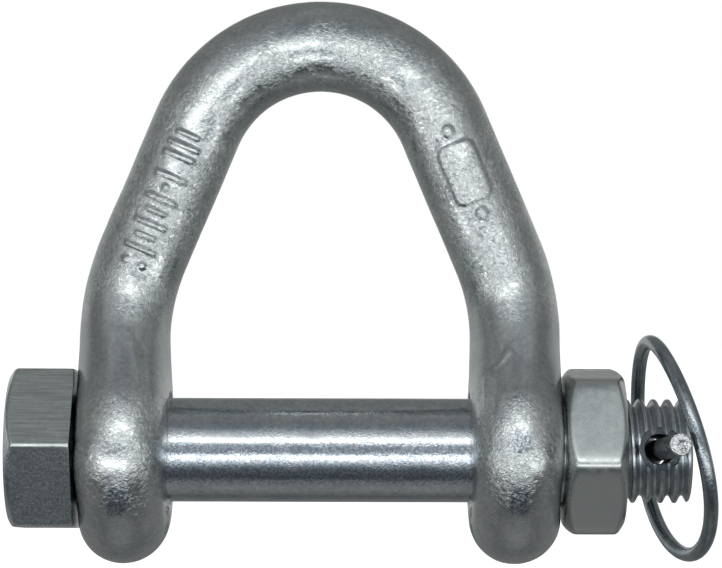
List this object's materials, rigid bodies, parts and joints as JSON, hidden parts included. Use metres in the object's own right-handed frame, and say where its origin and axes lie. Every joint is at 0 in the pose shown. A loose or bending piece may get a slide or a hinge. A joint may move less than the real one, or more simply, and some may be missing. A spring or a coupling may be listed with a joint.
{
  "type": "dee shackle",
  "caption": "Galvanised wide-body dee shackle with a hexagon-head safety bolt, a thin hexagon nut and a linch pin with a spring ring through the bolt's end.",
  "frame": {"origin": "on the bolt's axis, midway between the two ears' inner faces", "axes": "+X along the bolt from its head to its threaded end, +Z from the bolt to the crown of the bow, -Y to the side that the linch pin's tip points to"},
  "size_m": [0.1272, 0.0468, 0.1031],
  "materials": {
    "zinc_forging": "galvanised forging, dull, fine orange-peel",
    "zinc_bolt": "galvanised, satin, mottled",
    "zinc_nut": "galvanised, satin",
    "plated_pin": "bright zinc plate",
    "plated_wire": "bright zinc-plated spring wire"
  },
  "bodies": {
    "bow": {"bow": "zinc_forging"},
    "bolt": {"bolt": "zinc_bolt"},
    "nut": {"nut": "zinc_nut"},
    "linch_pin": {"linch_pin": "plated_pin"},
    "linch_ring": {"linch_ring": "plated_wire"}
  },
  "joints": [
    {"name": "bolt_turn", "type": "hinge", "parent": "bow", "child": "bolt", "pos_m": [0, 0, 0], "axis": [1, 0, 0], "range_deg": [-240, 0]},
    {"name": "nut_travel", "type": "slide", "parent": "bow", "child": "nut", "axis": [1, 0, 0], "range_m": [0, 0.00169]},
    {"name": "linch_pin_pull", "type": "slide", "parent": "bolt", "child": "linch_pin", "axis": [-0.0698, 0.9921, -0.1043], "range_m": [0, 0.0386]},
    {"name": "linch_ring_open", "type": "hinge", "parent": "linch_pin", "child": "linch_ring", "pos_m": [0.06052, 0.01533, -0.00161], "axis": [-0.1921, 0.0892, 0.9773], "range_deg": [0, 170], "stiffness_Nm_per_rad": 0.02, "springref_deg": -20.05}
  ],
  "couplings": [
    {"joint": "nut_travel", "follows": "bolt_turn", "m_per_rad": -0.00040425},
    {"joint": "linch_pin_pull", "follows": "linch_ring_open", "m_per_rad": 0.01301}
  ]
}
